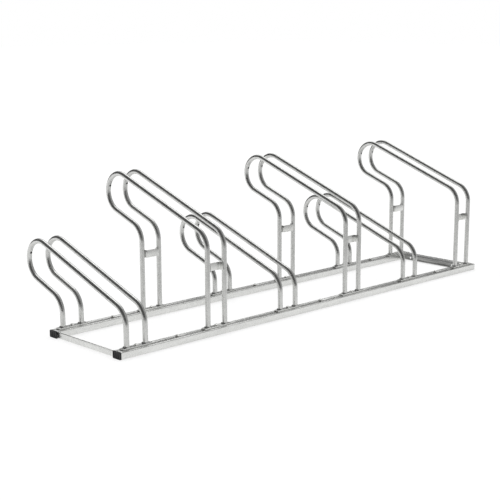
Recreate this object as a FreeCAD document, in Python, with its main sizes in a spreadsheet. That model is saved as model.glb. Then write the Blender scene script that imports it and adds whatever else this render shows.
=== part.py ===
import FreeCAD, Part
import math
import os
import Sketcher

# Floor bike rack with six wheel places, alternately low and high.
# X runs along the rack, -Y is the side that the wheels enter from, +Z is up.
# The origin lies on the floor, below the middle of the rack's whole length and depth.

PLACES = 6
HIGH_PLACES = (2, 4, 6)
FLOOR_HOLES = 3

SIZES = {
    # wheel places and hoops
    "place_pitch": 350,            # from the middle of one wheel place to the next
    "hoop_spacing": 77,            # between the axes of the two hoops of a place
    "tube_diameter": 18,
    "tube_wall": 1.5,
    "slope_angle": 20,             # degrees, both sloping runs of a hoop
    "head_radius": 70,             # axis of the round head
    "bend_radius": 70,             # axis of the bends above the legs
    "head_overhang": 119,          # head centre behind the axes of the rear legs
    "low_head_height": 242,        # head centre of a low hoop above the floor
    "high_lift": 200,              # extra leg length of a high hoop
    "vent_diameter": 8,
    # rails
    "rail_overhang": 75,           # from the middle of an end place to the ends of the rails
    "rail_width": 40,
    "rail_height": 25,
    "rail_wall": 2,
    "rail_corner": 3,              # outside radius of the section's corners
    "rail_spacing": 350,           # between the middles of the two rails
    "floor_hole_diameter": 12,
    # foot plates
    "foot_length": 120,
    "foot_width": 20,
    "foot_thickness": 5,
    # wheel brackets of the high places
    "bracket_height": 27,
    "bracket_bottom": 220,         # underside of a bracket above the floor
    "bracket_thickness": 3,
    "bracket_depth": 14,           # face of the web ahead of the leg axes
    "bracket_lap": 4,              # length of a flange past the leg axes
    "bracket_bend": 5,             # outside radius of the folds
    # cross members between the rails
    "member_height": 20,
    "flat_thickness": 5,
    "angle_width": 50,
    "angle_thickness": 3,
    "angle_root": 1.5,             # inside radius of the angle
    "joining_hole_diameter": 10,
    "joining_hole_spacing": 225,
    # foot bolts and the nuts welded inside the rails
    "bolt_diameter": 8,
    "bolt_length": 16,             # under the head
    "bolt_head_across": 13,
    "bolt_head_height": 5.3,
    "bolt_chamfer_angle": 30,      # degrees, around the top of the head
    "bolt_hole_diameter": 9,
    "nut_width": 14,
    "nut_height": 6.5,
    "thread_clearance": 0.1,       # around the bolt in its nut
    # end plugs
    "plug_head": 5,
    "plug_insert": 16,
    "plug_insert_wall": 2,
    "plug_fin": 1.2,
    "plug_fin_pitch": 4,
    "plug_fin_reach": 1.3,         # how far a fin stands out from the insert
    "plug_clearance": 0.15,        # around the fins inside the rail
    "plug_recess": 1.5,
    "plug_rim": 4,
    "plug_rib": 2,
}
PLUG_FINS = 3
PLUG_RECESSES = 3

doc = FreeCAD.newDocument("bike_rack")


class Term:
    """A number together with the formula that gives it from the sheet."""

    def __init__(self, value, text=None):
        self.value = float(value)
        self.text = text or "%g" % value

    def join(self, other, sign, value):
        return Term(value, "(%s %s %s)" % (self.text, sign, other.text))

    def __add__(self, other):
        other = term(other)
        return self.join(other, "+", self.value + other.value)

    def __sub__(self, other):
        other = term(other)
        return self.join(other, "-", self.value - other.value)

    def __mul__(self, other):
        other = term(other)
        return self.join(other, "*", self.value * other.value)

    def __truediv__(self, other):
        other = term(other)
        return self.join(other, "/", self.value / other.value)

    def __neg__(self):
        return Term(-self.value, "(0 - %s)" % self.text)


def term(number):
    return number if isinstance(number, Term) else Term(number)


def cosine(angle):
    return Term(math.cos(math.radians(angle.value)), "cos(%s * 1 deg)" % angle.text)


def sine(angle):
    return Term(math.sin(math.radians(angle.value)), "sin(%s * 1 deg)" % angle.text)


def make_sheet():
    """Write the driving dimensions to the sheet and hand them back by name."""
    sheet = doc.addObject("Spreadsheet::Sheet", "Sizes")
    for row, (name, value) in enumerate(SIZES.items(), start=1):
        sheet.set("A%d" % row, name.replace("_", " "))
        sheet.set("B%d" % row, str(value))
        sheet.setAlias("B%d" % row, name)
    doc.recompute()
    return {name: Term(sheet.get(name), "Sizes." + name) for name in SIZES}


size = make_sheet()

# Levels and places that several pieces share.
row_length = size["place_pitch"] * (PLACES - 1)
rail_length = row_length + size["rail_overhang"] * 2
rail_end = rail_length / 2
rail_y = size["rail_spacing"] / 2
rail_side = rail_y - size["rail_width"] / 2
foot_top = size["rail_height"] + size["foot_thickness"]
tube_radius = size["tube_diameter"] / 2
hoop_back = rail_y + size["head_overhang"] + size["head_radius"] + tube_radius
rail_front = rail_y + size["rail_width"] / 2
length_shift = size["plug_head"] / 2            # centres the whole length on the origin
depth_shift = (rail_front - hoop_back) / 2      # centres the whole depth on the origin
clear_gap = size["hoop_spacing"] - size["tube_diameter"]


# Helpers for bodies, sketches and features.

def new_body(label, x=0, y=0, z=0):
    """Body whose origin stands at x, y, z, counted from the middle of the rails."""
    body = doc.addObject("PartDesign::Body", label)
    body.Label = label
    body.setExpression("Placement.Base.x", (term(x) + length_shift).text)
    body.setExpression("Placement.Base.y", (term(y) + depth_shift).text)
    body.setExpression("Placement.Base.z", term(z).text)
    return body


def origin_feature(body, role):
    return [feature for feature in body.Origin.OriginFeatures if feature.Role == role][0]


def new_sketch(body, name, plane, offset=0):
    sketch = body.newObject("Sketcher::SketchObject", body.Label + "_" + name)
    sketch.AttachmentSupport = [(origin_feature(body, plane), "")]
    sketch.MapMode = "FlatFace"
    sketch.setExpression("AttachmentOffset.Base.z", term(offset).text)
    return sketch


def constrain(sketch, kind, *places):
    return sketch.addConstraint(Sketcher.Constraint(kind, *places))


def dimension(sketch, kind, places, amount):
    """Driving dimension that follows the sheet."""
    start = math.radians(amount.value) if kind == "Angle" else amount.value
    index = sketch.addConstraint(Sketcher.Constraint(kind, *places, start))
    sketch.setExpression("Constraints[%d]" % index, amount.text)


def pin_point(sketch, geometry, point, x, y):
    """Hold a point of the sketch at x, y from the sketch's origin."""
    for kind, amount in (("DistanceX", term(x)), ("DistanceY", term(y))):
        dimension(sketch, kind, (-1, 1, geometry, point), amount)


def vector(x, y):
    return FreeCAD.Vector(term(x).value, term(y).value, 0)


def draw_outline(sketch, corners):
    """Closed outline through corners x, y; one given as x, y, radius is square and rounded."""
    spots = [vector(corner[0], corner[1]) for corner in corners]
    places = []
    for index, corner in enumerate(corners):
        here = spots[index]
        back = (spots[index - 1] - here).normalize()
        ahead = (spots[(index + 1) % len(spots)] - here).normalize()
        if len(corner) == 2:
            places.append(((None, here), (None, here)))
        else:
            places.append(draw_corner(sketch, corner, back, ahead))
    lines = []
    for index, (entry, exit_place) in enumerate(places):
        following = places[(index + 1) % len(places)][0]
        lines.append(sketch.addGeometry(Part.LineSegment(exit_place[1], following[1])))
    for index, line in enumerate(lines):
        following_line = lines[(index + 1) % len(lines)]
        corner = corners[(index + 1) % len(corners)]
        entry, exit_place = places[(index + 1) % len(places)]
        if len(corner) == 2:
            constrain(sketch, "Coincident", line, 2, following_line, 1)
            pin_point(sketch, line, 2, *corner)
        else:
            constrain(sketch, "Tangent", line, 2, *entry[0])
            constrain(sketch, "Tangent", following_line, 1, *exit_place[0])
    return lines


def draw_corner(sketch, corner, back, ahead):
    """Quarter round at a square corner; gives its entry and its exit as (arc, end) and point."""
    x, y, radius = corner
    lean = back + ahead
    centre_x = term(x) + radius * round(lean.x)
    centre_y = term(y) + radius * round(lean.y)
    start = math.degrees(math.atan2(-ahead.y, -ahead.x))
    end = math.degrees(math.atan2(-back.y, -back.x))
    left_turn = back.cross(ahead).z < 0
    if not left_turn:
        start, end = end, start
    arc = draw_arc(sketch, centre_x, centre_y, radius, start, end)
    pin_point(sketch, arc, 3, centre_x, centre_y)
    dimension(sketch, "Radius", (arc,), radius)
    here = vector(x, y)
    entry = ((arc, 1 if left_turn else 2), here + back * radius.value)
    exit_place = ((arc, 2 if left_turn else 1), here + ahead * radius.value)
    return entry, exit_place


def draw_rectangle(sketch, width, height, middle_x=0, middle_y=0, radius=None):
    half_width = term(width) / 2
    half_height = term(height) / 2
    left = term(middle_x) - half_width
    right = term(middle_x) + half_width
    low = term(middle_y) - half_height
    high = term(middle_y) + half_height
    corners = [(left, low), (right, low), (right, high), (left, high)]
    if radius:
        corners = [corner + (radius,) for corner in corners]
    draw_outline(sketch, corners)


def draw_circle(sketch, diameter, x=0, y=0):
    circle = sketch.addGeometry(Part.Circle(vector(x, y), FreeCAD.Vector(0, 0, 1), diameter.value / 2))
    pin_point(sketch, circle, 3, x, y)
    dimension(sketch, "Diameter", (circle,), diameter)


def draw_arc(sketch, x, y, radius, start, end):
    """Arc round x, y from the start angle to the end angle, in degrees, anticlockwise."""
    circle = Part.Circle(vector(x, y), FreeCAD.Vector(0, 0, 1), radius.value)
    return sketch.addGeometry(Part.ArcOfCircle(circle, math.radians(start), math.radians(end)))


def extrude(body, kind, name, sketch, length, symmetric=False, reverse=False):
    """Pad or pocket of a sketch to a length from the sheet."""
    feature = body.newObject("PartDesign::" + kind, body.Label + "_" + name)
    feature.Profile = sketch
    feature.SideType = "Symmetric" if symmetric else "One side"
    feature.Reversed = reverse
    feature.setExpression("Length", term(length).text)
    return feature


def repeat(body, name, feature, axis, pitch, count, reverse=False):
    """Row of copies of a feature along one of the body's axes."""
    row = body.newObject("PartDesign::LinearPattern", body.Label + "_" + name)
    row.Originals = [feature]
    row.Direction = (origin_feature(body, axis), [""])
    row.Reversed = reverse
    row.Occurrences = count
    row.setExpression("Length", (pitch * (count - 1)).text)
    body.Tip = row
    return row


# Sub-parts.

def make_rail(label, side):
    """Rectangular tube along X, holed for the foot bolts and for fixing to the floor."""
    body = new_body(label, y=rail_y * side)
    middle = size["rail_height"] / 2
    bore_width = size["rail_width"] - size["rail_wall"] * 2
    bore_height = size["rail_height"] - size["rail_wall"] * 2
    section = new_sketch(body, "section", "YZ_Plane")
    draw_rectangle(section, size["rail_width"], size["rail_height"], 0, middle, size["rail_corner"])
    draw_rectangle(section, bore_width, bore_height, 0, middle, size["rail_corner"] - size["rail_wall"])
    extrude(body, "Pad", "tube", section, rail_length, symmetric=True)

    bolt_sketch = new_sketch(body, "bolt_hole_sketch", "XY_Plane", size["rail_height"])
    draw_circle(bolt_sketch, size["bolt_hole_diameter"], x=-row_length / 2)
    bolt_hole = extrude(body, "Pocket", "bolt_hole", bolt_sketch, size["rail_height"] / 2)
    repeat(body, "bolt_holes", bolt_hole, "X_Axis", size["place_pitch"], PLACES)

    floor_pitch = size["place_pitch"] * 2
    floor_sketch = new_sketch(body, "floor_hole_sketch", "XY_Plane", size["rail_height"])
    draw_circle(floor_sketch, size["floor_hole_diameter"], x=-floor_pitch * ((FLOOR_HOLES - 1) / 2))
    floor_hole = extrude(body, "Pocket", "floor_hole", floor_sketch, size["rail_height"])
    repeat(body, "floor_holes", floor_hole, "X_Axis", floor_pitch, FLOOR_HOLES)
    return body


def make_foot_plate(label, x, side):
    """Flat bar that carries two hoop legs, with a bolt hole midway between them."""
    body = new_body(label, x=x, y=rail_y * side, z=size["rail_height"])
    outline = new_sketch(body, "outline", "XY_Plane")
    draw_rectangle(outline, size["foot_length"], size["foot_width"])
    draw_circle(outline, size["bolt_hole_diameter"])
    extrude(body, "Pad", "bar", outline, size["foot_thickness"])
    return body


def draw_hoop_path(sketch, head_height):
    """Axis of a hoop from the front foot, over the head and back to the rear foot."""
    slope = size["slope_angle"]
    head_y = rail_y + size["head_overhang"]
    rise = Term(math.tan(math.radians(slope.value)))
    head = size["head_radius"]
    bend = size["bend_radius"]
    angle = slope.value
    away = vector(-sine(slope) * head, cosine(slope) * head)
    centre = vector(head_y, head_height)
    upper_end = centre + away
    lower_end = centre - away
    front_corner = vector(-rail_y, upper_end.y - (upper_end.x + rail_y.value) * rise.value)
    rear_corner = vector(rail_y, lower_end.y - (lower_end.x - rail_y.value) * rise.value)
    along = FreeCAD.Vector(math.cos(math.radians(angle)), math.sin(math.radians(angle)), 0)
    up = FreeCAD.Vector(0, 1, 0)
    setback = bend.value * math.tan(math.radians((90 - angle) / 2))

    front_leg = sketch.addGeometry(Part.LineSegment(vector(-rail_y, 0), front_corner - up * setback))
    front_bend = draw_arc(sketch, front_corner.x + bend.value, (front_corner - up * setback).y,
                          bend, 90 + angle, 180)
    upper_run = sketch.addGeometry(Part.LineSegment(front_corner + along * setback, upper_end))
    head_bend = draw_arc(sketch, head_y, head_height, head, angle - 90, angle + 90)
    lower_run = sketch.addGeometry(Part.LineSegment(lower_end, rear_corner + along * setback))
    rear_bend = draw_arc(sketch, rear_corner.x + bend.value, (rear_corner - up * setback).y,
                         bend, 90 + angle, 180)
    rear_leg = sketch.addGeometry(Part.LineSegment(rear_corner - up * setback, vector(rail_y, 0)))

    joints = (
        (front_leg, 2, front_bend, 2),
        (front_bend, 1, upper_run, 1),
        (upper_run, 2, head_bend, 2),
        (head_bend, 1, lower_run, 1),
        (lower_run, 2, rear_bend, 1),
        (rear_bend, 2, rear_leg, 1),
    )
    for joint in joints:
        constrain(sketch, "Tangent", *joint)
    constrain(sketch, "Vertical", front_leg)
    constrain(sketch, "Vertical", rear_leg)
    constrain(sketch, "Parallel", upper_run, lower_run)
    dimension(sketch, "Angle", (upper_run,), slope)
    dimension(sketch, "Radius", (front_bend,), bend)
    dimension(sketch, "Radius", (rear_bend,), bend)
    dimension(sketch, "Radius", (head_bend,), head)
    pin_point(sketch, head_bend, 3, head_y, head_height)
    pin_point(sketch, front_leg, 1, -rail_y, 0)
    pin_point(sketch, rear_leg, 2, rail_y, 0)


def make_hoop(label, x, lift):
    """Bent tube that stands on a front and a rear foot plate, with a vent hole in its head."""
    body = new_body(label, x=x, z=foot_top)
    head_y = rail_y + size["head_overhang"]
    head_height = size["low_head_height"] + lift - foot_top
    path = new_sketch(body, "path", "YZ_Plane")
    draw_hoop_path(path, head_height)
    section = new_sketch(body, "section", "XY_Plane")
    draw_circle(section, size["tube_diameter"], y=-rail_y)
    draw_circle(section, size["tube_diameter"] - size["tube_wall"] * 2, y=-rail_y)
    doc.recompute()
    pipe = body.newObject("PartDesign::AdditivePipe", label + "_tube")
    pipe.Profile = section
    pipe.Spine = (path, ["Edge%d" % (index + 1) for index in range(len(path.Shape.Edges))])

    slope = size["slope_angle"]
    vent_radius = size["vent_diameter"] / 2
    reach = size["head_radius"]
    side_y = -sine(slope) * vent_radius
    side_z = cosine(slope) * vent_radius
    end_y = head_y + cosine(slope) * reach
    end_z = head_height + sine(slope) * reach
    vent_sketch = new_sketch(body, "vent_sketch", "YZ_Plane")
    lines = draw_outline(vent_sketch, [
        (head_y, head_height),
        (end_y, end_z),
        (end_y + side_y, end_z + side_z),
        (head_y + side_y, head_height + side_z),
    ])
    vent = body.newObject("PartDesign::Groove", label + "_vent")
    vent.Profile = vent_sketch
    vent.ReferenceAxis = (vent_sketch, ["Edge%d" % (lines[0] + 1)])
    vent.Angle = 360
    return body


def make_bracket(label, x, side):
    """Folded strip between the legs of a high place: a web with a flange to each leg."""
    body = new_body(label, x=x, y=rail_y * side, z=size["bracket_bottom"])
    half = clear_gap / 2
    wall = size["bracket_thickness"]
    fold = size["bracket_bend"]
    web = -size["bracket_depth"] * side
    web_back = web + wall * side
    tip = size["bracket_lap"] * side
    outline = new_sketch(body, "outline", "XY_Plane")
    draw_outline(outline, [
        (-half, tip),
        (-half, web, fold),
        (half, web, fold),
        (half, tip),
        (half - wall, tip),
        (half - wall, web_back, fold - wall),
        (wall - half, web_back, fold - wall),
        (wall - half, tip),
    ])
    extrude(body, "Pad", "strip", outline, size["bracket_height"])
    return body


def make_left_bar(label):
    """Flat bar on edge between the rails, flush with their left ends."""
    thickness = size["flat_thickness"]
    middle_z = size["rail_height"] / 2
    body = new_body(label, x=thickness / 2 - rail_end, z=middle_z)
    section = new_sketch(body, "section", "XZ_Plane")
    draw_rectangle(section, thickness, size["member_height"])
    extrude(body, "Pad", "bar", section, rail_side * 2, symmetric=True)
    return body


def make_right_angle(label):
    """Angle between the rails, flush with their right ends, holed to join a further rack."""
    width = size["angle_width"]
    height = size["member_height"]
    wall = size["angle_thickness"]
    body = new_body(label, x=rail_end - width, z=(size["rail_height"] - height) / 2)
    section = new_sketch(body, "section", "XZ_Plane")
    draw_outline(section, [
        (0, 0),
        (wall, 0),
        (wall, height - wall, size["angle_root"]),
        (width, height - wall),
        (width, height),
        (0, height),
    ])
    extrude(body, "Pad", "angle", section, rail_side * 2, symmetric=True)
    hole_sketch = new_sketch(body, "hole_sketch", "YZ_Plane")
    draw_circle(hole_sketch, size["joining_hole_diameter"], -size["joining_hole_spacing"] / 2, height / 2)
    hole = extrude(body, "Pocket", "hole", hole_sketch, wall * 2, symmetric=True)
    repeat(body, "holes", hole, "Y_Axis", size["joining_hole_spacing"], 2)
    return body


def make_foot_bolts(label, side):
    """Row of chamfered hexagon bolts along a rail, one in the middle of each foot plate."""
    body = new_body(label, x=-row_length / 2, y=rail_y * side, z=foot_top)
    body.AllowCompound = True
    hexagon = new_sketch(body, "hexagon", "XY_Plane")
    across = size["bolt_head_across"]
    corners = []
    for index in range(6):
        angle = Term(60 * index)
        reach = across / Term(math.sqrt(3), "sqrt(3)")
        corners.append((reach * cosine(angle), reach * sine(angle)))
    draw_outline(hexagon, corners)
    head = extrude(body, "Pad", "head", hexagon, size["bolt_head_height"])
    chamfer_sketch = new_sketch(body, "chamfer_sketch", "XZ_Plane")
    top = size["bolt_head_height"]
    outside = across
    slope = sine(size["bolt_chamfer_angle"]) / cosine(size["bolt_chamfer_angle"])
    drop = (outside - across / 2) * slope
    draw_outline(chamfer_sketch, [(across / 2, top), (outside, top - drop), (outside, top)])
    chamfer = body.newObject("PartDesign::Groove", label + "_chamfer")
    chamfer.Profile = chamfer_sketch
    chamfer.ReferenceAxis = (chamfer_sketch, ["V_Axis"])
    chamfer.Angle = 360
    shank_sketch = new_sketch(body, "shank_sketch", "XY_Plane")
    draw_circle(shank_sketch, size["bolt_diameter"])
    shank = extrude(body, "Pad", "shank", shank_sketch, size["bolt_length"], reverse=True)
    row = repeat(body, "row", head, "X_Axis", size["place_pitch"], PLACES)
    row.Originals = [head, chamfer, shank]
    return body


def make_weld_nuts(label, side):
    """Row of square nuts welded under the top wall of a rail, one below each foot bolt."""
    top = size["rail_height"] - size["rail_wall"]
    body = new_body(label, x=-row_length / 2, y=rail_y * side, z=top)
    body.AllowCompound = True
    outline = new_sketch(body, "outline", "XY_Plane")
    draw_rectangle(outline, size["nut_width"], size["nut_width"])
    draw_circle(outline, size["bolt_diameter"] + size["thread_clearance"] * 2)
    nut = extrude(body, "Pad", "nut", outline, size["nut_height"], reverse=True)
    repeat(body, "row", nut, "X_Axis", size["place_pitch"], PLACES)
    return body


def make_end_plug(label, side):
    """Plastic plug in the left end of a rail: ribbed head, hollow insert and gripping fins."""
    middle_z = size["rail_height"] / 2
    body = new_body(label, x=-rail_end, y=rail_y * side, z=middle_z)
    head_sketch = new_sketch(body, "head_sketch", "YZ_Plane")
    draw_rectangle(head_sketch, size["rail_width"], size["rail_height"], radius=size["rail_corner"])
    extrude(body, "Pad", "head", head_sketch, size["plug_head"], reverse=True)

    fin_width = size["rail_width"] - size["rail_wall"] * 2 - size["plug_clearance"] * 2
    fin_height = size["rail_height"] - size["rail_wall"] * 2 - size["plug_clearance"] * 2
    core_width = fin_width - size["plug_fin_reach"] * 2
    core_height = fin_height - size["plug_fin_reach"] * 2
    wall = size["plug_insert_wall"]
    insert_sketch = new_sketch(body, "insert_sketch", "YZ_Plane")
    draw_rectangle(insert_sketch, core_width, core_height)
    draw_rectangle(insert_sketch, core_width - wall * 2, core_height - wall * 2)
    extrude(body, "Pad", "insert", insert_sketch, size["plug_insert"])

    recess_width = (size["rail_width"] - size["plug_rim"] * 2
                    - size["plug_rib"] * (PLUG_RECESSES - 1)) / PLUG_RECESSES
    recess_pitch = recess_width + size["plug_rib"]
    recess_sketch = new_sketch(body, "recess_sketch", "YZ_Plane", -size["plug_head"])
    draw_rectangle(recess_sketch, recess_width, size["rail_height"] - size["plug_rim"] * 2,
                   -recess_pitch * ((PLUG_RECESSES - 1) / 2))
    recess = extrude(body, "Pocket", "recess", recess_sketch, size["plug_recess"], reverse=True)
    repeat(body, "recesses", recess, "Y_Axis", recess_pitch, PLUG_RECESSES)

    fin_sketch = new_sketch(body, "fin_sketch", "YZ_Plane", size["plug_insert"] - size["plug_fin"])
    draw_rectangle(fin_sketch, fin_width, fin_height)
    draw_rectangle(fin_sketch, core_width - wall, core_height - wall)
    fin = extrude(body, "Pad", "fin", fin_sketch, size["plug_fin"])
    repeat(body, "fins", fin, "X_Axis", size["plug_fin_pitch"], PLUG_FINS, reverse=True)
    return body


def make_places(sides):
    """Hoops, foot plates and wheel brackets of every wheel place."""
    pieces = []
    for place in range(1, PLACES + 1):
        x = size["place_pitch"] * (place - (PLACES + 1) / 2)
        high = place in HIGH_PLACES
        lift = size["high_lift"] * (1 if high else 0)
        for hand, offset in (("left", -size["hoop_spacing"] / 2), ("right", size["hoop_spacing"] / 2)):
            pieces.append(make_hoop("hoop_%d_%s" % (place, hand), x + offset, lift))
        for name, side in sides.items():
            pieces.append(make_foot_plate("%s_foot_plate_%d" % (name, place), x, side))
            if high:
                pieces.append(make_bracket("%s_bracket_%d" % (name, place), x, side))
    return pieces


def check_document():
    """Stop if any object has failed to build."""
    for item in doc.Objects:
        if "Invalid" in item.State or "Error" in item.State:
            raise RuntimeError("%s has failed: %s" % (item.Name, item.State))


def check_piece(body):
    shape = body.Shape
    if shape.isNull() or not shape.isValid() or not shape.Solids:
        raise RuntimeError("%s has no valid solid" % body.Label)


def main():
    sides = {"front": -1, "rear": 1}
    pieces = make_places(sides)
    for name, side in sides.items():
        pieces.append(make_rail(name + "_rail", side))
        pieces.append(make_foot_bolts(name + "_foot_bolts", side))
        pieces.append(make_weld_nuts(name + "_weld_nuts", side))
        pieces.append(make_end_plug(name + "_end_plug", side))
    pieces.append(make_left_bar("left_cross_bar"))
    pieces.append(make_right_angle("right_cross_angle"))
    doc.recompute()
    check_document()
    for body in pieces:
        check_piece(body)
    os.makedirs("parts", exist_ok=True)
    for body in pieces:
        body.Shape.exportStep("parts/%s.step" % body.Label)
    print("%d pieces written" % len(pieces))


main()
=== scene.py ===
import math

import bpy
from mathutils import Matrix, Vector


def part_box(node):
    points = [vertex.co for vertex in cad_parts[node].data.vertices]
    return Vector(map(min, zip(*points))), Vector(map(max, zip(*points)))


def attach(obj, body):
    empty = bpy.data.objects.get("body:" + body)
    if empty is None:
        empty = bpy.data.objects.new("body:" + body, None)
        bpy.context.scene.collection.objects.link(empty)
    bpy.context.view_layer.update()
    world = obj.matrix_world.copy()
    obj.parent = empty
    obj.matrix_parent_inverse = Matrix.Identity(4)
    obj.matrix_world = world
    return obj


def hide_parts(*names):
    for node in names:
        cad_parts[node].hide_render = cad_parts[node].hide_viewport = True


# Floor bike rack: broken edges, weld beads, bolts, finishes, studio and camera.
# Metres, in the rack's own frame: X along the rack, -Y the side that the wheels enter from, +Z up.

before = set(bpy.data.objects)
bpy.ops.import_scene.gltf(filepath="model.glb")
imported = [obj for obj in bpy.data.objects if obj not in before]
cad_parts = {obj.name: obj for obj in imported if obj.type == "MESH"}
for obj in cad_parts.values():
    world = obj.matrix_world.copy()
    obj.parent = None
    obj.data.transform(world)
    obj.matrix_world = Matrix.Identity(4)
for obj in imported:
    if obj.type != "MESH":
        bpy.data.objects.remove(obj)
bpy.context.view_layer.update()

MM = 0.001
PLACES = range(1, 7)              # from the left
HIGH_PLACES = (2, 4, 6)
ROWS = ("front", "rear")
HANDS = {"left": -1, "right": 1}

# The rack's own stock sizes.
TUBE_RADIUS = 9 * MM
FOOT_HALF_WIDTH = 10 * MM

# Broken edges: how wide their rounding is on each kind of piece.
RAIL_EDGE = 0.3 * MM
PLUG_EDGE = 0.4 * MM
FLAT_EDGE = 0.6 * MM              # foot plates and the flat cross bar
BENT_EDGE = 0.5 * MM              # brackets and the cross angle
BOLT_EDGE = 0.25 * MM
WASHER_EDGE = 0.3 * MM
EDGE_SEGMENTS = 2
SHARP = math.radians(30)          # an edge that turns by more than this is broken
ONE_FACE = math.radians(0.5)      # and triangles that turn by less than this are one face
TRIANGLE_GAP = 0.002 * MM         # corners of a node's loose triangles this near are one
HAIR = 0.01 * MM                  # slack in merging and comparing places
FACING = 0.9                      # the least Z in the normal of a face that faces up

# Weld beads: quarter-round rings at the feet of the legs, and straight seams.
LEG_BEAD = 3.6 * MM               # radius of the ring's section
LEG_BEAD_SECTION = 12
LEG_BEAD_RIPPLES = 30
LEG_BEAD_CREST = (1.03, 1.03, 1.13)
LEG_BEAD_TRIM = 0.99              # where the plate's edge cuts the ring, as a share of its width
LEG_BEAD_SHARP = math.radians(50)
SUNK = 0.3 * MM                   # how far a ring reaches into the leg
SEAM_SECTION = 12
SEAM_RADIUS = 1.7 * MM
SEAM_RIPPLE = 1.6 * MM            # from crest to crest
SEAM_CREST = 1.13                 # how much wider a crest is than the hollow beside it
SEAM_END = 0.45                   # and how wide the seam's ends are
SEAM_SHARP = math.radians(60)
BRACKET_SEAM_REACH = 5 * MM       # from the middle of a leg to its seams, front and rear
BRACKET_SEAM_SHORT = 4 * MM       # how much shorter a seam is than the bracket,
BAR_SEAM_SHORT = 2 * MM           # the flat cross bar
ANGLE_SEAM_SHORT = 6 * MM         # and the top of the cross angle

# Hexagon bolts of the foot plates, and the screws in the floor holes.
ROUND_SIDES = 48
BOLT_ACROSS = 13 * MM
BOLT_HEAD = 5.3 * MM
BOLT_RADIUS = 4 * MM
BOLT_LENGTH = 16 * MM
HEAD_CHAMFER = math.radians(30)
HEAD_FLAT_RADIUS = 4.2 * MM       # of the round flat that the chamfer leaves on a head
SCREW_LENGTH = 24 * MM
WASHER_RADIUS = 8.5 * MM
WASHER_HOLE = 1.2 * BOLT_RADIUS
WASHER_THICKNESS = 1.4 * MM
WASHER_DISH = 0.1 * WASHER_THICKNESS
FLOOR_HOLE_PITCH = 700 * MM

# Hot-dip zinc. A scale counts patches to the metre, a depth is in metres.
ZINC_TINT = (1.0, 1.006, 0.985)
CRYSTAL_SCALE = 110.0
DRIFT_SCALE = 40.0
DRIFT = 0.012                     # how much the crystals' borders wander
CLOUD_SCALE = 9.0
CRYSTAL_TONE = 0.25               # what crystals, clouds and runs add to the tone
CLOUD_TONE = 0.45
RUN_TONE = 0.45
TONE_EDGE = (0.3, 0.85)           # tone of the dull and of the bright zinc
ZINC_ROUGHNESS = 0.20
CRYSTAL_ROUGHNESS = 0.05
CLOUD_ROUGHNESS = 0.10
SKIN_SCALE = 120.0
SKIN_DEPTH = 0.0006
GRAIN_SCALE = 1400.0
GRAIN_DEPTH = 0.0001
BUMP_STRENGTH = 0.12

# Painted shade on the upright leg and the front half of the top of the cross angle: the zinc there
# is painted darker.
SHADE_SLANT = (0.1, 0.0, 1.0)     # square to the plane that parts it from the paler zinc
SHADE_EDGE = (0.1142, 0.1158)     # where that plane lies along the slant, and how soft it is
SHADE_RUN_EDGE = (0.3, 0.7)
SHADE_DARK = 0.22                 # its runs, as shares of the dull zinc
SHADE_PALE = 0.50

# The camera: where it looks, from where, and how long its lens is.
CAMERA_TARGET = (0.5612, 0.6939, 0.0)
CAMERA_AZIMUTH = math.radians(-43.9351)
CAMERA_ELEVATION = math.radians(11.4803)
CAMERA_ROLL = math.radians(-0.147)
CAMERA_DISTANCE = 5.4091
CAMERA_REACH = 100.0
FOCAL_PIXELS = 1164.8
IMAGE_PIXELS = 500
SENSOR_WIDTH = 36.0

# Studio light: walls, a softbox high on the right, and the floor as camera and metal see it.
WHITE = (1, 1, 1, 1)
LEFT_WALL = 0.10
FRONT_WALL = 0.42                 # right side, in front
REAR_WALL = 0.27                  # right side, behind, below the softbox
SOFTBOX = 1.75
RIGHT_EDGE = (0.05, 0.30)         # share of X in the direction, from the left wall to the right
REAR_EDGE = (-0.15, 0.30)         # share of Y, from the front of the room to the rear wall
SOFTBOX_EDGE = (0.45, 0.65)       # sine of the elevation where the softbox begins
FLOOR_SIZE = 60.0
FLOOR_SEEN = (0.45, 0.45, 0.45, 1)       # the floor's own grey as the camera sees it
FLOOR_MIRRORED = (0.3, 0.3, 0.3, 1)      # and as the metal sees it
FLOOR_WHITENING = 0.68            # what lifts that grey to white for the camera
FLOOR_GLOW = 0.36                 # in the metal, far out in front
FLOOR_GLOW_BELOW = 0.27           # how much more it glows below the rack
FLOOR_GLOW_BEHIND = 0.12          # and how much more again behind it
FRONT_FADE = (-1.3, -0.5)         # Y from the front's glow to that below the rack
REAR_FADE = (0.3, 0.9)            # and from there to that behind it
OVERHEAD_LIGHT = 1.6
OVERHEAD_BREADTH = math.radians(70)
OVERHEAD_TILT = (math.radians(-18), math.radians(-14), 0)


# Modelling by hand.

def start_afresh():
    """Leave edit mode and let go of everything."""
    if bpy.context.object and bpy.context.object.mode != "OBJECT":
        bpy.ops.object.mode_set(mode="OBJECT")
    bpy.ops.object.select_all(action="DESELECT")


def take(piece):
    """Make a piece the only one in hand."""
    start_afresh()
    piece.select_set(True)
    bpy.context.view_layer.objects.active = piece


def pick(piece, kind, wanted):
    """In edit mode, select only the vertices, edges or faces of a piece that are wanted."""
    bpy.ops.object.mode_set(mode="OBJECT")
    mesh = piece.data
    groups = {"VERT": mesh.vertices, "EDGE": mesh.edges, "FACE": mesh.polygons}
    for group in groups.values():
        group.foreach_set("select", [False] * len(group))
    for item in groups[kind]:
        item.select = wanted(item)
    bpy.ops.object.mode_set(mode="EDIT")
    bpy.ops.mesh.select_mode(type=kind)


def pick_all():
    """In edit mode, select all of the piece in hand."""
    bpy.ops.object.mode_set(mode="EDIT")
    bpy.ops.mesh.select_all(action="SELECT")


def placed(piece):
    """A new piece with its place, turn and size moved into its mesh."""
    take(piece)
    bpy.ops.object.transform_apply(location=True, rotation=True, scale=True)
    return piece


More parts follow.
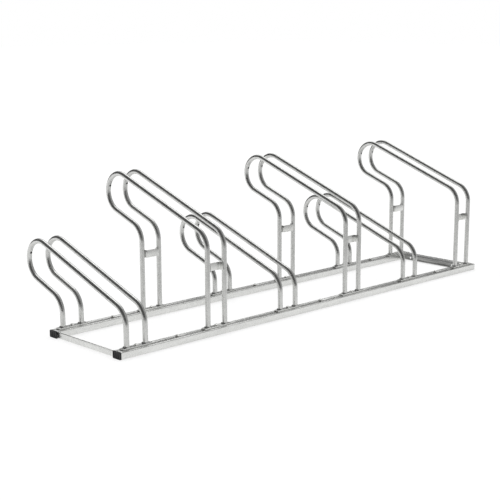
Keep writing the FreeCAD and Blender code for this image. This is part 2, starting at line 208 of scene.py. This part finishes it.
def copied(piece, name, place, turn=None):
    """Copy of a piece with its own mesh, turned and moved to a place."""
    mesh = piece.data.copy()
    if turn:
        mesh.transform(turn)
    mesh.transform(Matrix.Translation(place))
    twin = bpy.data.objects.new(name, mesh)
    bpy.context.scene.collection.objects.link(twin)
    return twin


def joined(pieces, name):
    """Several pieces made one."""
    start_afresh()
    for piece in pieces:
        piece.select_set(True)
    bpy.context.view_layer.objects.active = pieces[0]
    bpy.ops.object.join()
    pieces[0].name = name
    return pieces[0]


def put_away(piece):
    """Remove a piece that was only there to be copied."""
    bpy.data.objects.remove(piece)


def smooth(sharp):
    """Smooth the piece in hand, but for the edges that turn by more than an angle."""
    bpy.ops.object.mode_set(mode="OBJECT")
    bpy.ops.object.shade_smooth_by_angle(angle=sharp)


def break_edges(piece, width):
    """Round a piece's sharp edges and smooth what lies between them."""
    take(piece)
    bevel = piece.modifiers.new("broken edges", "BEVEL")
    bevel.width = width
    bevel.segments = EDGE_SEGMENTS
    bevel.limit_method = "ANGLE"
    bevel.angle_limit = SHARP
    bevel.use_clamp_overlap = True
    bpy.ops.object.modifier_apply(modifier=bevel.name)
    smooth(SHARP)


def fit(piece, material, replaced=None):
    """Give a finished piece its finish and its place in the rack."""
    piece.data.materials.clear()
    piece.data.materials.append(material)
    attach(piece, "root")
    if replaced:
        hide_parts(replaced)


# Where the rack's own pieces are.

def middle(node):
    """Middle of a node's box."""
    low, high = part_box(node)
    return (low + high) / 2


def top(node):
    """Middle of the top of a node's box."""
    low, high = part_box(node)
    return Vector(((low.x + high.x) / 2, (low.y + high.y) / 2, high.z))


def foot_plate(row, place):
    """Name of a place's foot plate on one of the rails."""
    return "%s_foot_plate_%d" % (row, place)


def bracket(row, place):
    """Name of a high place's bracket at one of the rails."""
    return "%s_bracket_%d" % (row, place)


def leg_x(place, hand):
    """How far along the rack the legs of a hoop are."""
    return middle("hoop_%d_%s" % (place, hand)).x


# Broken edges.

def broken_edged(node, width, material):
    """A node's own shape with its sharp edges rounded, in the node's place."""
    piece = bpy.data.objects.new(node + "_broken_edged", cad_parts[node].data.copy())
    bpy.context.scene.collection.objects.link(piece)
    take(piece)
    pick_all()
    bpy.ops.mesh.remove_doubles(threshold=TRIANGLE_GAP)
    bpy.ops.mesh.dissolve_limited(angle_limit=ONE_FACE)
    break_edges(piece, width)
    fit(piece, material, node)


def break_frame_edges(flat_steel, angle_zinc_and_painted_shade, plastic):
    """Broken edges on the rails, plugs, plates, brackets and cross members."""
    for row in ROWS:
        broken_edged(row + "_rail", RAIL_EDGE, flat_steel)
        broken_edged(row + "_end_plug", PLUG_EDGE, plastic)
        for place in PLACES:
            broken_edged(foot_plate(row, place), FLAT_EDGE, flat_steel)
        for place in HIGH_PLACES:
            broken_edged(bracket(row, place), BENT_EDGE, flat_steel)
    broken_edged("left_cross_bar", FLAT_EDGE, flat_steel)
    broken_edged("right_cross_angle", BENT_EDGE, angle_zinc_and_painted_shade)


# Weld beads.

def make_leg_bead():
    """Rippled fillet weld round the foot of a leg, no wider than the foot plate."""
    start_afresh()
    bpy.ops.mesh.primitive_circle_add(vertices=LEG_BEAD_SECTION, radius=LEG_BEAD,
                                      fill_type="NOTHING", location=(TUBE_RADIUS, 0, 0),
                                      rotation=(math.pi / 2, 0, 0))
    bead = placed(bpy.context.object)
    pick(bead, "VERT", lambda vertex: vertex.co.z < 0)
    bpy.ops.transform.resize(value=(1, 1, 0), center_override=(0, 0, -SUNK / 2))
    wall = TUBE_RADIUS - SUNK
    pick(bead, "VERT", lambda vertex: vertex.co.x < wall)
    bpy.ops.transform.resize(value=(0, 1, 1), center_override=(wall, 0, 0))
    pick_all()
    bpy.ops.mesh.remove_doubles(threshold=HAIR)
    steps = LEG_BEAD_RIPPLES * 2
    bpy.ops.mesh.spin(steps=steps, angle=2 * math.pi, center=(0, 0, 0), axis=(0, 0, 1))
    bpy.ops.mesh.select_all(action="SELECT")
    bpy.ops.mesh.remove_doubles(threshold=HAIR)
    bpy.ops.mesh.normals_make_consistent(inside=False)

    def on_crest(vertex):
        turn = math.atan2(vertex.co.y, vertex.co.x) / (2 * math.pi) * steps
        return round(turn) % 2 == 0

    pick(bead, "VERT", on_crest)
    bpy.ops.transform.resize(value=LEG_BEAD_CREST, center_override=(0, 0, 0))
    for side in (-1, 1):
        pick_all()
        bpy.ops.mesh.bisect(plane_co=(0, side * FOOT_HALF_WIDTH * LEG_BEAD_TRIM, 0),
                            plane_no=(0, side, 0), use_fill=True, clear_outer=True)
    smooth(LEG_BEAD_SHARP)
    return bead


def make_seam(length):
    """Straight rippled bead with narrow ends, standing along Z, its middle at the origin."""
    start_afresh()
    rings = round(length / SEAM_RIPPLE) * 2
    bpy.ops.mesh.primitive_circle_add(vertices=SEAM_SECTION, radius=SEAM_RADIUS * SEAM_END,
                                      fill_type="NGON", location=(0, 0, -length / 2))
    seam = placed(bpy.context.object)
    pick_all()
    width = SEAM_END
    for ring in range(1, rings + 1):
        wider = SEAM_END if ring == rings else SEAM_CREST if ring % 2 else 1
        bpy.ops.mesh.extrude_region_move(TRANSFORM_OT_translate={"value": (0, 0, length / rings)})
        bpy.ops.transform.resize(value=(wider / width, wider / width, 1),
                                 center_override=(0, 0, 0))
        width = wider
    bpy.ops.mesh.select_all(action="SELECT")
    bpy.ops.mesh.normals_make_consistent(inside=False)
    smooth(SEAM_SHARP)
    return seam


def weld_legs(material):
    """Ring beads under the four legs of every place."""
    bead = make_leg_bead()
    for place in PLACES:
        for row in ROWS:
            foot = top(foot_plate(row, place))
            beads = [copied(bead, "bead", (leg_x(place, hand), foot.y, foot.z)) for hand in HANDS]
            fit(joined(beads, "%s_leg_welds_%d" % (row, place)), material)
    put_away(bead)


def weld_brackets(material):
    """Upright seams that hold both flanges of a bracket to the legs."""
    skin = math.sqrt(TUBE_RADIUS ** 2 - BRACKET_SEAM_REACH ** 2)
    beside = (TUBE_RADIUS + skin) / 2     # halfway between the flange and the tube's skin
    for place in HIGH_PLACES:
        for row in ROWS:
            low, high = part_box(bracket(row, place))
            leg_y = middle(foot_plate(row, place)).y
            seam = make_seam(high.z - low.z - BRACKET_SEAM_SHORT)
            seams = []
            for hand, side in HANDS.items():
                seam_x = leg_x(place, hand) - side * beside
                for reach in (-BRACKET_SEAM_REACH, BRACKET_SEAM_REACH):
                    seam_place = (seam_x, leg_y + reach, (low.z + high.z) / 2)
                    seams.append(copied(seam, "seam", seam_place))
            put_away(seam)
            fit(joined(seams, "%s_bracket_welds_%d" % (row, place)), material)


def weld_cross_members(material):
    """Seams where the flat bar and the angle meet the rails' inner walls."""
    bar_low, bar_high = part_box("left_cross_bar")
    angle_low, angle_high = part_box("right_cross_angle")
    upright = make_seam(bar_high.z - bar_low.z - BAR_SEAM_SHORT)
    level = make_seam(angle_high.x - angle_low.x - ANGLE_SEAM_SHORT)
    lie_down = Matrix.Rotation(math.pi / 2, 4, "Y")
    bar_z = middle("left_cross_bar").z
    angle_x = middle("right_cross_angle").x
    bar_seams = []
    angle_seams = []
    for wall in (bar_low.y, bar_high.y):
        bar_seams.append(copied(upright, "seam", (bar_high.x, wall, bar_z)))
        angle_seams.append(copied(upright, "seam", (angle_low.x, wall, bar_z)))
        angle_seams.append(copied(level, "seam", (angle_x, wall, angle_high.z), lie_down))
    fit(joined(bar_seams, "left_cross_bar_welds"), material)
    fit(joined(angle_seams, "right_cross_angle_welds"), material)
    put_away(upright)
    put_away(level)


# Bolts and screws.

def faces_up(face):
    return face.normal.z > FACING


def faces_down(face):
    return face.normal.z < -FACING


def make_bolt(length, lift=0):
    """Hexagon bolt, its head lifted off the XY plane and its shank below the head."""
    start_afresh()
    corner = BOLT_ACROSS / math.sqrt(3)
    bpy.ops.mesh.primitive_cylinder_add(vertices=ROUND_SIDES, radius=corner, depth=BOLT_HEAD,
                                        location=(0, 0, lift + BOLT_HEAD / 2))
    bolt = placed(bpy.context.object)
    head_top = lift + BOLT_HEAD
    rim = corner - HEAD_FLAT_RADIUS

    def on_rim(vertex):
        return vertex.co.z > head_top - HAIR and vertex.co.xy.length > corner - rim / 2

    pick(bolt, "FACE", faces_up)
    bpy.ops.mesh.inset(thickness=rim)
    pick(bolt, "VERT", on_rim)
    bpy.ops.transform.translate(value=(0, 0, -rim * math.tan(HEAD_CHAMFER)))
    pick(bolt, "FACE", faces_down)
    bpy.ops.mesh.inset(thickness=corner - BOLT_RADIUS)
    bpy.ops.mesh.extrude_region_move(TRANSFORM_OT_translate={"value": (0, 0, -length)})
    for degrees in range(30, 360, 60):
        turn = math.radians(degrees)
        out = Vector((math.cos(turn), math.sin(turn), 0))
        pick_all()
        bpy.ops.mesh.bisect(plane_co=out * BOLT_ACROSS / 2, plane_no=out, use_fill=True,
                            clear_outer=True)
    break_edges(bolt, BOLT_EDGE)
    return bolt


def make_washer():
    """Washer lying on the XY plane, slightly sunk round its hole."""
    start_afresh()
    bpy.ops.mesh.primitive_cylinder_add(vertices=ROUND_SIDES, radius=WASHER_RADIUS,
                                        depth=WASHER_THICKNESS,
                                        location=(0, 0, WASHER_THICKNESS / 2))
    washer = placed(bpy.context.object)
    for facing, side in ((faces_down, -1), (faces_up, 1)):
        pick(washer, "FACE", facing)
        bpy.ops.mesh.inset(thickness=WASHER_RADIUS - WASHER_HOLE)
        bpy.ops.transform.translate(value=(0, 0, -side * WASHER_DISH))
    break_edges(washer, WASHER_EDGE)
    return washer


def fit_bolts(material):
    """A bolt through the middle of every foot plate, and a screw in every floor hole."""
    bolt = make_bolt(BOLT_LENGTH)
    screw = joined([make_bolt(SCREW_LENGTH, WASHER_THICKNESS), make_washer()], "screw")
    for row in ROWS:
        bolts = [copied(bolt, "bolt", top(foot_plate(row, place))) for place in PLACES]
        fit(joined(bolts, row + "_foot_bolt_set"), material, row + "_foot_bolts")
        rail = top(row + "_rail")
        screws = []
        for step in (-1, 0, 1):
            screws.append(copied(screw, "screw",
                                 (rail.x + step * FLOOR_HOLE_PITCH, rail.y, rail.z)))
        fit(joined(screws, row + "_floor_screws"), material)
    put_away(bolt)
    put_away(screw)


# Shader maths.

class Value:
    """A socket of a finish that can be added and multiplied as a number can."""

    def __init__(self, finish, socket):
        self.finish = finish
        self.socket = socket

    def math(self, operation, other):
        """One step of arithmetic with a number or another value."""
        return self.finish.make("ShaderNodeMath", {"operation": operation}, {0: self, 1: other})

    def __add__(self, other):
        return self.math("ADD", other)

    def __mul__(self, other):
        return self.math("MULTIPLY", other)

    __radd__ = __add__
    __rmul__ = __mul__

    def between(self, low, high):
        """0 below low, 1 above high, smooth in between."""
        return self.finish.make("ShaderNodeMapRange", {"interpolation_type": "SMOOTHSTEP"},
                                {"Value": self, "From Min": low, "From Max": high})


class Finish:
    """The nodes of a new material or world."""

    def __init__(self, owner):
        owner.use_nodes = True
        self.owner = owner
        self.nodes = owner.node_tree.nodes
        self.links = owner.node_tree.links
        self.nodes.clear()

    def make(self, kind, settings, inputs, output=0):
        """Add a node, set it up, feed it and hand back one of its outputs, if it has any."""
        node = self.nodes.new(kind)
        for name, setting in settings.items():
            setattr(node, name, setting)
        for name, source in inputs.items():
            if isinstance(source, Value):
                self.links.new(source.socket, node.inputs[name])
            else:
                node.inputs[name].default_value = source
        return Value(self, node.outputs[output]) if node.outputs else None

    def place(self):
        """The point of the surface, in the rack's own metres."""
        return self.make("ShaderNodeTexCoord", {}, {}, "Object")

    def axis(self, vector, letter):
        """X, Y or Z of a vector."""
        return self.make("ShaderNodeSeparateXYZ", {}, {"Vector": vector}, letter)

    def ray(self, question):
        """1 for the rays of light that the question is true of, such as Is Camera Ray."""
        return self.make("ShaderNodeLightPath", {}, {}, question)

    def noise(self, place, scale, detail, roughness, output="Fac"):
        """Patches of noise, this many to a metre."""
        return self.make("ShaderNodeTexNoise", {},
                         {"Vector": place, "Scale": scale, "Detail": detail,
                          "Roughness": roughness}, output)

    def mix(self, factor, first, second):
        """Colour mix."""
        return self.make("ShaderNodeMix", {"data_type": "RGBA"},
                         {0: factor, 6: first, 7: second}, 2)

    def bump(self, height, depth, strength, under=None):
        """Bumps, on top of others where these are given."""
        inputs = {"Height": height, "Distance": depth, "Strength": strength}
        if under:
            inputs["Normal"] = under
        return self.make("ShaderNodeBump", {}, inputs)

    def surface(self, color, metallic, roughness, normal):
        """Make this the surface and hand back the material."""
        shader = self.make("ShaderNodeBsdfPrincipled", {},
                           {"Base Color": color, "Metallic": metallic, "Roughness": roughness,
                            "Normal": normal})
        self.make("ShaderNodeOutputMaterial", {}, {"Surface": shader})
        return self.owner


# Finishes.

def zinc_grey(share):
    """Colour of bare zinc that throws back this share of the light."""
    return tuple(share * tint for tint in ZINC_TINT) + (1,)


def galvanised_finish(name, dull, bright, run, painted_shade=False):
    """Hot-dip zinc: pale grey crystals, soft clouds, drawn-out runs, a slightly uneven skin.

    Run gives the runs' scale along X, Y and Z. The cross angle's finish has painted shade: darker
    zinc below the slanting plane, with the same runs."""
    finish = Finish(bpy.data.materials.new(name))
    place = finish.place()
    drift = finish.noise(place, DRIFT_SCALE, detail=2.0, roughness=0.5, output="Color")
    bent = finish.make("ShaderNodeMix", {"data_type": "VECTOR"}, {0: DRIFT, 4: place, 5: drift}, 1)
    cells = finish.make("ShaderNodeTexVoronoi", {}, {"Vector": bent, "Scale": CRYSTAL_SCALE},
                        "Color")
    crystal = finish.make("ShaderNodeSeparateColor", {}, {"Color": cells})
    cloud = finish.noise(place, CLOUD_SCALE, detail=4.0, roughness=0.6)
    drawn_out = finish.make("ShaderNodeMapping", {}, {"Vector": place, "Scale": run})
    streak = finish.noise(drawn_out, 1.0, detail=3.0, roughness=0.6)
    tone = crystal * CRYSTAL_TONE + cloud * CLOUD_TONE + streak * RUN_TONE
    color = finish.mix(tone.between(*TONE_EDGE), zinc_grey(dull), zinc_grey(bright))
    if painted_shade:
        # Painted shade: the zinc below the slanting plane is painted darker.
        above = finish.make("ShaderNodeVectorMath", {"operation": "DOT_PRODUCT"},
                            {0: place, 1: SHADE_SLANT}, "Value")
        shade = finish.mix(streak.between(*SHADE_RUN_EDGE), zinc_grey(dull * SHADE_DARK),
                           zinc_grey(dull * SHADE_PALE))
        color = finish.mix(above.between(*SHADE_EDGE), shade, color)
    roughness = ZINC_ROUGHNESS + crystal * CRYSTAL_ROUGHNESS + cloud * CLOUD_ROUGHNESS
    skin = finish.noise(place, SKIN_SCALE, detail=3.0, roughness=0.55)
    grain = finish.noise(place, GRAIN_SCALE, detail=2.0, roughness=0.6)
    normal = finish.bump(skin, SKIN_DEPTH, BUMP_STRENGTH)
    normal = finish.bump(grain, GRAIN_DEPTH, BUMP_STRENGTH, normal)
    return finish.surface(color, 1.0, roughness, normal)


def clouded_finish(name, metallic, clouds, dark, pale, smoothest, roughest, grain, depth,
                   strength):
    """Soft clouds of tone and gloss over a fine grain.

    Clouds and grain are noises: their scale, detail and roughness."""
    finish = Finish(bpy.data.materials.new(name))
    place = finish.place()
    cloud = finish.noise(place, *clouds)
    color = finish.mix(cloud, dark, pale)
    normal = finish.bump(finish.noise(place, *grain), depth, strength)
    return finish.surface(color, metallic, smoothest + cloud * (roughest - smoothest), normal)


def dress(node, material):
    """Give a node of the rack its finish."""
    slots = node.material_slots
    for slot in slots:
        slot.material = material
    if not slots:
        node.data.materials.append(material)


def dress_frame(tube, flat, zinc, plastic):
    """Give every node of the rack its finish."""
    for name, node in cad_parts.items():
        if "plug" in name:
            dress(node, plastic)
        elif "bolts" in name or "nuts" in name:
            dress(node, zinc)
        elif "hoop" in name:
            dress(node, tube)
        else:
            dress(node, flat)


# Studio.

def studio_world():
    """White to the camera; as light, a dim room with a broad softbox high on the right."""
    world = bpy.data.worlds.new("studio")
    bpy.context.scene.world = world
    finish = Finish(world)
    direction = finish.make("ShaderNodeTexCoord", {}, {}, "Generated")
    right = finish.axis(direction, "X").between(*RIGHT_EDGE)
    rear = finish.axis(direction, "Y").between(*REAR_EDGE)
    high = finish.axis(direction, "Z").between(*SOFTBOX_EDGE)
    behind = REAR_WALL - FRONT_WALL + high * (SOFTBOX - REAR_WALL)
    room = LEFT_WALL + right * (FRONT_WALL - LEFT_WALL + rear * behind)
    light = finish.make("ShaderNodeBackground", {}, {"Color": WHITE, "Strength": room})
    white = finish.make("ShaderNodeBackground", {}, {"Color": WHITE, "Strength": 1.0})
    seen = finish.ray("Is Camera Ray")
    both = finish.make("ShaderNodeMixShader", {}, {0: seen, 1: light, 2: white})
    finish.make("ShaderNodeOutputWorld", {}, {"Surface": both})


def studio_floor():
    """White floor that keeps the rack's shadow; in the metal it brightens from front to rear."""
    start_afresh()
    bpy.ops.mesh.primitive_plane_add(size=FLOOR_SIZE, location=(0, 0, 0))
    floor = bpy.context.object
    floor.name = "floor"
    finish = Finish(bpy.data.materials.new("studio floor"))
    seen = finish.ray("Is Camera Ray")
    mirrored = finish.ray("Is Glossy Ray")
    across = finish.axis(finish.place(), "Y")
    below = across.between(*FRONT_FADE) * FLOOR_GLOW_BELOW
    behind = across.between(*REAR_FADE) * FLOOR_GLOW_BEHIND
    strength = seen * FLOOR_WHITENING + mirrored * (FLOOR_GLOW + below + behind)
    grey = finish.mix(seen, FLOOR_MIRRORED, FLOOR_SEEN)
    diffuse = finish.make("ShaderNodeBsdfDiffuse", {}, {"Color": grey})
    glow = finish.make("ShaderNodeEmission", {}, {"Color": WHITE, "Strength": strength})
    both = finish.make("ShaderNodeAddShader", {}, {0: diffuse, 1: glow})
    finish.make("ShaderNodeOutputMaterial", {}, {"Surface": both})
    floor.data.materials.append(finish.owner)


def add_overhead_light():
    """Broad soft light from above that shapes the shadow and doesn't show in the metal."""
    light = bpy.data.lights.new("overhead", "SUN")
    light.energy = OVERHEAD_LIGHT
    light.angle = OVERHEAD_BREADTH
    lamp = bpy.data.objects.new("overhead", light)
    lamp.rotation_euler = OVERHEAD_TILT
    lamp.visible_glossy = False
    bpy.context.scene.collection.objects.link(lamp)


def add_camera():
    """Camera whose view matches the photograph's."""
    out = math.cos(CAMERA_ELEVATION)
    back = Vector((math.sin(CAMERA_AZIMUTH) * out, -math.cos(CAMERA_AZIMUTH) * out,
                   math.sin(CAMERA_ELEVATION)))
    level = Vector((math.cos(CAMERA_AZIMUTH), math.sin(CAMERA_AZIMUTH), 0.0))
    above = back.cross(level)
    right = level * math.cos(CAMERA_ROLL) + above * math.sin(CAMERA_ROLL)
    up = above * math.cos(CAMERA_ROLL) - level * math.sin(CAMERA_ROLL)
    lens = bpy.data.cameras.new("camera")
    lens.sensor_width = SENSOR_WIDTH
    lens.lens = FOCAL_PIXELS * SENSOR_WIDTH / IMAGE_PIXELS
    lens.clip_end = CAMERA_REACH
    camera = bpy.data.objects.new("camera", lens)
    spot = Vector(CAMERA_TARGET) + back * CAMERA_DISTANCE
    turned = Matrix((right, up, back)).transposed().to_4x4()
    camera.matrix_world = Matrix.Translation(spot) @ turned
    bpy.context.scene.collection.objects.link(camera)
    bpy.context.scene.camera = camera


tube_steel = galvanised_finish("galvanised tube", dull=0.62, bright=0.76,
                               run=(50.0, 50.0, 50.0))
flat_steel = galvanised_finish("galvanised rail", dull=0.78, bright=0.92,
                               run=(12.0, 150.0, 150.0))
# The cross angle's zinc carries painted shade on its upright leg and the front half of its top.
angle_zinc_and_painted_shade = galvanised_finish("galvanised angle with painted shade", dull=0.84, bright=0.95,
                                run=(300.0, 8.0, 300.0), painted_shade=True)
bright_zinc = clouded_finish("zinc plated steel", metallic=1.0, clouds=(180.0, 3.0, 0.6),
                             dark=(0.86, 0.86, 0.84, 1), pale=(0.94, 0.94, 0.92, 1),
                             smoothest=0.18, roughest=0.28,
                             grain=(2500.0, 2.0, 0.6), depth=0.00005, strength=0.3)
black_plastic = clouded_finish("black plastic", metallic=0.0, clouds=(60.0, 3.0, 0.6),
                               dark=(0.008, 0.008, 0.009, 1), pale=(0.018, 0.018, 0.019, 1),
                               smoothest=0.38, roughest=0.50,
                               grain=(1500.0, 2.0, 0.5), depth=0.00008, strength=0.5)
weld_metal = clouded_finish("galvanised weld", metallic=1.0, clouds=(300.0, 4.0, 0.65),
                            dark=zinc_grey(0.48), pale=zinc_grey(0.68),
                            smoothest=0.34, roughest=0.46,
                            grain=(900.0, 3.0, 0.6), depth=0.0003, strength=0.5)

dress_frame(tube_steel, flat_steel, bright_zinc, black_plastic)
break_frame_edges(flat_steel, angle_zinc_and_painted_shade, black_plastic)
weld_legs(weld_metal)
weld_brackets(weld_metal)
weld_cross_members(weld_metal)
fit_bolts(bright_zinc)

studio_world()
studio_floor()
add_overhead_light()
add_camera()
bpy.context.scene.view_settings.view_transform = "Standard"
